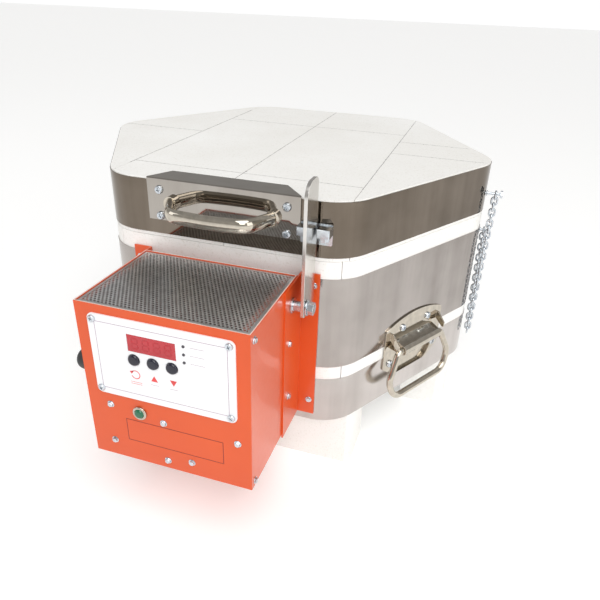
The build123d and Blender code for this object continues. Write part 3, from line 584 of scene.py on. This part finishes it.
def add_cement_line(shape, start, end, across):
    """An uneven thread of cement in one joint of the lid's top."""
    start, end = Vector(start), Vector(end)
    step_length, root, crown = 1.6, -0.9, 0.03
    steps = max(4, int((end - start).length / step_length))
    rows = []
    for step in range(steps + 1):
        middle = start.lerp(end, step / steps)
        seed = middle * 0.21 + Vector((3.1, 0, 0))
        blob = 0.35 if noise.noise(middle * 0.9) > 0.33 else 0
        half = 0.36 + 0.34 * abs(noise.noise(seed)) + blob
        drift = 0.22 * noise.noise(middle * 0.11)
        rows.append([
            shape.verts.new(middle + across * (drift + side * half) + Vector((0, 0, level)))
            for side, level in ((-1, root), (-0.8, crown), (0.8, crown), (1, root))
        ])
    for near, far in zip(rows, rows[1:]):
        for k in range(4):
            shape.faces.new((near[k], near[(k + 1) % 4], far[(k + 1) % 4], far[k]))
    shape.faces.new(rows[0][::-1])
    shape.faces.new(rows[-1])


lid_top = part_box("lid_bricks_left")[1][2] / MM
brick_step = 114.3
long_joints = ((-brick_step, -157, 157), (0.0, -168, 193), (brick_step, -157, 157))
cross_joints = (
    (-148.0, -brick_step, brick_step), (84.0, -brick_step, brick_step),
    (0.0, -217.0, -brick_step), (-12.0, brick_step, 211.0), (46.0, brick_step, 193.0),
)
shape = bmesh.new()
for x, near, far in long_joints:
    add_cement_line(shape, (x, near, lid_top), (x, far, lid_top), Vector((1, 0, 0)))
for y, left, right in cross_joints:
    add_cement_line(shape, (left, y, lid_top), (right, y, lid_top), Vector((0, 1, 0)))
built("lid_cement", shape, "lid", "firebrick", cement)


# ================================================================ stainless bands
def rounded_hexagon(off, radius, flat_steps, corner_steps):
    """Points and outward directions round a hexagon with rounded corners, in millimetres."""
    points = []
    for side in range(6):
        middle = radians(-90 + 60 * side)
        out = Vector((cos(middle), sin(middle), 0))
        along = Vector((-sin(middle), cos(middle), 0))
        half = (off - radius) * tan(pi / 6)
        for step in range(flat_steps):
            points.append((out * off + along * (-half + 2 * half * step / flat_steps), out))
        centre = out * (off - radius) + along * half
        for step in range(corner_steps):
            turn = middle + (pi / 3) * step / corner_steps
            direction = Vector((cos(turn), sin(turn), 0))
            points.append((centre + direction * radius, direction))
    return points


def band(node, low, high, surface):
    """A sheet band with softened rims and the slight unevenness of hand-wrapped sheet."""
    ring = rounded_hexagon(apothem, corner, 26, 16)
    rows, rim, inner, shoulder = 7, 0.35, 0.12, 0.62
    profile = [(inner, low + 0.1), (shoulder, low), (sheet, low + rim)]
    profile += [(sheet, low + rim + (high - low - 2 * rim) * k / rows) for k in range(1, rows + 1)]
    profile += [(shoulder, high), (inner, high - 0.1)]
    rings = []
    for off, height in profile:
        loop = []
        for point, out in ring:
            wander = 0.0
            if off == sheet:
                seed = Vector((point.x * 0.011, point.y * 0.011, height * 0.018))
                wander = 0.16 * (noise.noise(seed) - 0.8)
            loop.append(point + out * (off + wander) + Vector((0, 0, height)))
        rings.append(loop)
    shape = bmesh.new()
    add_rings(shape, rings)
    built(f"{node}_sheet", shape, body_of[node], slot_of[node], surface, (node,), sharp=50)


def low_high(node):
    """The bottom and top of a CAD node, in millimetres."""
    corner_low, corner_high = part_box(node)
    return corner_low[2] / MM, corner_high[2] / MM


# The bottom band gets a paler copy of the same stainless: painted reflection of the bright floor in
# its lower sheet.
floor_reflection_sheet = stainless("floor_reflection_sheet", (0.40, 0.365, 0.34), (0.64, 0.60, 0.575), 0.12, 0.20)
sheet_of = {"bottom_band": floor_reflection_sheet, "body_band": None, "lid_band": None}
for node, surface in sheet_of.items():
    band(node, *low_high(node), surface)


def lap_strip(node, low, high, surface):
    """The overlapped end of a band, screwed down on the back left side."""
    inset, thickness = 0.6, 0.7
    outline = rectangle(-78, -60, low + inset, high - inset)
    shape = bmesh.new()
    add_prism(shape, face_matrix(lap_side, apothem + sheet - 0.05), outline, 0, thickness)
    built(f"{node}_lap", shape, body_of[node], slot_of[node], surface, bevel=0.2)


lap_side = 4
for node, surface in sheet_of.items():
    lap_strip(node, *low_high(node), surface)


# ================================================================ plates, box and small parts
plain_parts = {
    "lid_handle_plate": 0.35, "keeper_bracket": 0.0, "keeper_nuts": 0.3, "hinge_body_leaf": 0.3,
    "hinge_lid_leaf": 0.3, "hinge_pin": 0.4, "handle_plate_left": 0.3, "handle_plate_right": 0.3,
    "bail_left": 0.0, "bail_right": 0.0, "lid_handle": 0.4, "pivot_bolt": 0.35,
    "pivot_hardware": 0.3, "chain_bolt_lid": 0.3, "chain_bolt_body": 0.3, "box_chassis": 0.35,
    "box_front": 0.3, "box_back": 0.3, "bracket_left": 0.35, "bracket_right": 0.35,
    "faceplate": 0.0, "display_window": 0.25, "pilot_bezel": 0.0, "pilot_lens": 0.0,
    "cord_gland": 0.4, "controller_board": 0.15, "relay": 0.4, "terminal_block": 0.3,
    "hookup_wires": 0.0, "element_terminals": 0.3, "thermocouple": 0.3,
    "button_left": 0.0, "button_middle": 0.0, "button_right": 0.0,
}
for node, width in plain_parts.items():
    dressed(node, width)
dressed("status_lamps", 0.2, surface=lamp_grey)
arm_plate = stainless("arm_plate", (0.62, 0.60, 0.57), (0.80, 0.78, 0.75), 0.16, 0.28)
dressed("prop_arm", 0.5, surface=arm_plate)


# ================================================================ perforated top
def perforated_sheet(node, pitch=3.4, hole=1.12, rim=0.6):
    """Sheet with staggered six-sided holes: one hexagonal cell round each, and a plain rim."""
    (x0, y0, z0), (x1, y1, z1) = [[c / MM for c in point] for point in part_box(node)]
    shape = bmesh.new()
    row_step = pitch * sqrt(3) / 2
    columns = int((x1 - x0 - 2 * rim) / pitch) - 1
    rows = int((y1 - y0 - 2 * rim) / row_step) - 1
    left = (x0 + x1) / 2 - (columns - 0.5) * pitch / 2
    front = (y0 + y1) / 2 - (rows - 1) * row_step / 2
    cell = pitch / sqrt(3)
    hexagon = [(sin(pi / 3 * k), cos(pi / 3 * k)) for k in range(6)]
    for row in range(rows):
        for column in range(columns):
            centre = Vector((left + (column + 0.5 * (row % 2)) * pitch, front + row * row_step, 0))
            levels = [
                [centre + Vector((reach * x, reach * y, level)) for x, y in hexagon]
                for reach, level in ((cell, z0), (cell, z1), (hole, z1), (hole, z0))
            ]
            loops = [[shape.verts.new(point) for point in ring] for ring in levels]
            for near, far in ((loops[1], loops[2]), (loops[2], loops[3]), (loops[3], loops[0])):
                for k in range(6):
                    j = (k + 1) % 6
                    shape.faces.new((near[k], near[j], far[j], far[k]))
    bmesh.ops.remove_doubles(shape, verts=shape.verts, dist=0.02)
    lap = rim + pitch * 0.62
    for sides in (
        (x0, x1, y0, y0 + lap),
        (x0, x1, y1 - lap, y1),
        (x0, x0 + lap, y0 + lap, y1 - lap),
        (x1 - lap, x1, y0 + lap, y1 - lap),
    ):
        add_prism(shape, Matrix.Identity(4), rectangle(*sides), z0 + 0.05, z1 - 0.08)
    built("box_grille_perforated", shape, body_of[node], slot_of[node], None, (node,), sharp=30)


perforated_sheet("box_grille")

# A thin pale rim round the top edges of the orange box: a painted highlight where the sheet edges
# catch the light.
box_low, box_high = [[c / MM for c in point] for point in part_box("box_front")]
rim_y, rim_back = box_low[1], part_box("box_back")[1][1] / MM
rim_x, rim_z = box_high[0], box_high[2]
edge, inner = 0.3, 1.0
shape = bmesh.new()
for sides in (
    (-rim_x + edge, rim_x - edge, rim_y + edge, rim_y + inner),
    (-rim_x + edge, rim_x - edge, rim_back - inner, rim_back - edge),
    (-rim_x + edge, -rim_x + inner, rim_y + inner, rim_back - inner),
    (rim_x - inner, rim_x - edge, rim_y + inner, rim_back - inner),
):
    add_prism(shape, Matrix.Identity(4), rectangle(*sides), rim_z - 0.2, rim_z + 0.05)
painted_edge_highlight = moulded("painted_edge_highlight", (0.72, 0.66, 0.60), 0.35, 0.5)
built("box_rim_painted_highlight", shape, "root", "grille", painted_edge_highlight)

# ================================================================ screws
pull_face = apothem + sheet + 1.5
leaf_face = apothem + sheet + 2.2
plate_face = apothem + sheet + 1.6
lid_heads = [face_matrix(0, pull_face, x, z) for x in (-60.3, 60.3) for z in (194.3, 218.4)]
lid_heads += [face_matrix(3, leaf_face, x, 199.2) for x in (-48, 48)]
keeper_heads = [face_matrix(0, pull_face, 86.8 + x, 194.0) for x in (-9, 9)]
shape = bmesh.new()
for matrix in lid_heads:
    add_pan_head(shape, matrix, 4.0, 2.4, rng.uniform(0, pi / 2))
for matrix in keeper_heads:
    add_pan_head(shape, matrix, 2.4, 1.5, rng.uniform(0, pi / 2))
built("lid_bolt_heads", shape, "lid", "zinc", stands_for=("lid_bolts",), sharp=28)

lap_face = apothem + sheet + 0.65
body_heads = [face_matrix(lap_side, lap_face, -70, z) for z in (12, 37, 78, 110, 142)]
body_heads += [face_matrix(3, leaf_face, x, 142) for x in (-48, 48)]
screws("body_screw_heads", "body_screws", body_heads, add_hex_head, 4.0, 2.2)

handle_heads = [
    face_matrix(side, plate_face, x, z)
    for side in (1, 5)
    for x, z in ((-20.5, 77.5), (20.5, 77.5), (-36, 40), (36, 40))
]
screws("handle_screw_heads", "handle_screws", handle_heads, add_pan_head, 4.0, 2.3)

box_front_y, box_half, bracket_face = -313.0, 74.0, 75.5
box_side_places = (
    (box_half, box_front_y + 7, 16.5), (box_half, box_front_y + 7, 154),
    (bracket_face, -228, 48), (bracket_face, -228, 105),
)
box_front_places = ((-53.1, 67), (-53.8, 28.3), (-4, 60.1), (-3, 20), (19.8, 24.8), (62.1, 58))
box_heads = []
for end in (-1, 1):
    side_turn = Matrix(((0, 0, end), (end, 0, 0), (0, 1, 0))).to_4x4()
    for reach, y, z in box_side_places:
        box_heads.append(Matrix.Translation((end * reach, y, z)) @ side_turn)
    box_heads += [face_matrix(0, pull_face, end * 86.5, z) for z in (25, 149.5)]
for x, z in box_front_places:
    box_heads.append(face_matrix(0, -box_front_y, x, z))
screws("box_screw_heads", "box_screws", box_heads, add_hex_head, 3.2, 2.0)

panel_face = -box_front_y + 1.5
panel_heads = [face_matrix(0, panel_face, x, z) for x in (-58, 58) for z in (84.3, 149.8)]
screws("faceplate_screw_heads", "faceplate_screws", panel_heads, add_pan_head, 3.2, 1.9)


# ================================================================ printing on the panel
def add_frame(shape, matrix, half_width, half_height, line, thickness):
    """A thin printed rectangle outline."""
    for sides in (
        (-half_width, half_width, half_height - line, half_height),
        (-half_width, half_width, -half_height, -half_height + line),
        (-half_width, -half_width + line, -half_height + line, half_height - line),
        (half_width - line, half_width, -half_height + line, half_height - line),
    ):
        add_prism(shape, matrix, rectangle(*sides), 0, thickness)


def add_dash(shape, x, z, half_length, half_line):
    """A short printed line on the panel."""
    outline = rectangle(-half_length, half_length, -half_line, half_line)
    add_prism(shape, face_matrix(0, panel_face, x, z), outline, 0, ink)


ink = 0.06
panel_middle = 116.8
shape = bmesh.new()
add_frame(shape, face_matrix(0, panel_face, 0, panel_middle), 56.5, 31.5, 0.45, ink)
built("panel_border", shape, "root", "panel_print", ink_grey)

shape = bmesh.new()
add_frame(shape, face_matrix(0, -box_front_y, 4.7, 44), 44.7, 11.5, 0.6, ink)
built("blank_label_outline", shape, "root", "orange_paint", ink_dark_red)

shape = bmesh.new()
for x, z, tip in ((-7.4, 104.6, 1), (9.5, 104.6, -1)):
    outline = [(-3.1, -2.6 * tip), (3.1, -2.6 * tip), (0, 2.9 * tip)][::tip]
    add_prism(shape, face_matrix(0, panel_face, x, z), outline, 0, ink)
built("panel_triangles", shape, "root", "display_red", ink_red)

shape = bmesh.new()
cycle_x, cycle_z = -24.1, 104.8
cycle_place = face_matrix(0, panel_face, cycle_x, cycle_z)
steps = 40
arc = []
for radius, order in ((4.1, 1), (3.35, -1)):
    sweep_angles = [radians(140 - 300 * k / steps) for k in range(steps + 1)][::order]
    arc += [(radius * cos(a), radius * sin(a)) for a in sweep_angles]
add_prism(shape, cycle_place, arc[::-1], 0, ink)
arrow = [(-5.2, 2.6), (-1.2, 3.6), (-3.6, 0.2)]
add_prism(shape, cycle_place, arrow, 0, ink)
for row in range(2):
    add_dash(shape, cycle_x, 97.6 - 1.8 * row, 5.0, 0.18)
built("panel_cycle_mark", shape, "root", "display_red", ink_red)

shape = bmesh.new()
for x in (-7.4, 9.5):
    add_dash(shape, x, 98.6, 3.6, 0.15)
for z in (141.3, 134.0, 126.8):
    add_dash(shape, 31.5, z, 6.0, 0.15)
built("panel_tick_lines", shape, "root", "panel_print", ink_grey)


def add_digit(shape, matrix, width, height, line):
    """The seven unlit bars of one figure, all alike."""
    w, h, gap, raised = width / 2, height / 2, line * 0.6, 0.04
    bars = [((-w + gap, y), (w - gap, y)) for y in (h, 0, -h)]
    bars += [((x, y + gap), (x, y + h - gap)) for x in (-w, w) for y in (0, -h)]
    for (x0, y0), (x1, y1) in bars:
        flat = y0 == y1
        px, py = (0, line / 2) if flat else (line / 2, 0)
        outline = [(x0 - px, y0 - py), (x1 - px, y1 - py), (x1 + px, y1 + py), (x0 + px, y0 + py)]
        add_prism(shape, matrix, outline if flat else outline[::-1], 0, raised)


display_low, display_high = [[c / MM for c in point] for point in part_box("display_window")]
display_x = (display_low[0] + display_high[0]) / 2
display_z = (display_low[2] + display_high[2]) / 2
digit_step = 9.6
shape = bmesh.new()
for column in range(4):
    digit_x = display_x + (column - 1.5) * digit_step
    add_digit(shape, face_matrix(0, -display_low[1], digit_x, display_z), 5.2, 9.4, 1.0)
display_bars = moulded("display_bars", (0.385, 0.009, 0.017), 0.12, 0.20)
built("display_unlit_bars", shape, "root", "display_red", display_bars)


# ================================================================ chain
link_wire, link_width, link_length = 1.1, 8.0, 11.0
link_pitch = link_length - 4 * link_wire - 0.2
link_straight = (link_length - link_width) / 2
chain_meet_x = 226.1


def add_link(shape, matrix):
    """One oval link standing in the matrix's YZ plane."""
    bend = link_width / 2 - link_wire
    half_steps = 12
    path = []
    for end in (1, -1):
        for step in range(half_steps + 1):
            angle = pi * step / half_steps + (0 if end > 0 else pi)
            height = end * link_straight + bend * sin(angle)
            path.append(matrix @ Vector((0, bend * cos(angle), height)))
    add_tube(shape, path, link_wire, 10, closed=True)


def chain(node, x, y, z, count, tilt=None):
    """Loose links, each a quarter turn from the last and turned a little by chance."""
    shape = bmesh.new()
    for number in range(count):
        turn = (pi / 2 if number % 2 else 0) + (radians(rng.uniform(-9, 9)) if number else 0)
        height = z - link_straight - number * link_pitch
        drift = (chain_meet_x - x) * number / (count - 1)
        add_link(shape, Matrix.Translation((x + drift, y, height)) @ Matrix.Rotation(turn, 4, "Z"))
    if tilt:
        seat_drop = link_length / 2 - link_wire
        seat = z - link_straight - (count - 1) * link_pitch - seat_drop
        reach = link_pitch - seat_drop
        place = Vector((chain_meet_x, y + reach * sin(tilt), seat - reach * cos(tilt)))
        add_link(shape, Matrix.Translation(place) @ Matrix.Rotation(tilt, 4, "X"))
    built(f"{node}_links", shape, body_of[node], "zinc", stands_for=(node,), sharp=60)


chain("chain_upper", 228.6, -6.0, 195.0, 26, radians(24))
chain("chain_lower", 223.6, 5.0, 150.0, 20)


# ================================================================ heating element
def element_coils(node):
    """A close coil of resistance wire round each of the three grooves."""
    coil, wire, pitch, per_turn = 3.6, 0.6, 5.0, 9
    groove_floor, groove_middle = 131.8 + 4.2, 5.0
    shape = bmesh.new()
    for groove in (78.0, 106.0, 134.0):
        ring = rounded_hexagon(groove_floor, 12.0, 60, 8)
        points = [point + Vector((0, 0, groove + groove_middle)) for point, _ in ring]
        outs = [out for _, out in ring]
        lengths = [0.0]
        for a, b in zip(points, points[1:] + points[:1]):
            lengths.append(lengths[-1] + (b - a).length)
        steps = int(lengths[-1] / pitch) * per_turn
        path = []
        index = 0
        for step in range(steps):
            target = lengths[-1] * step / steps
            while lengths[index + 1] < target:
                index += 1
            after = (index + 1) % len(points)
            share = (target - lengths[index]) / (lengths[index + 1] - lengths[index])
            out = outs[index].lerp(outs[after], share)
            angle = 2 * pi * step / per_turn
            middle = points[index].lerp(points[after], share)
            path.append(middle + out * (coil * cos(angle)) + Vector((0, 0, coil * sin(angle))))
        add_tube(shape, path, wire, 5, closed=True)
    built("heating_coils", shape, body_of[node], slot_of[node], stands_for=(node,), sharp=80)


element_coils("heating_element")
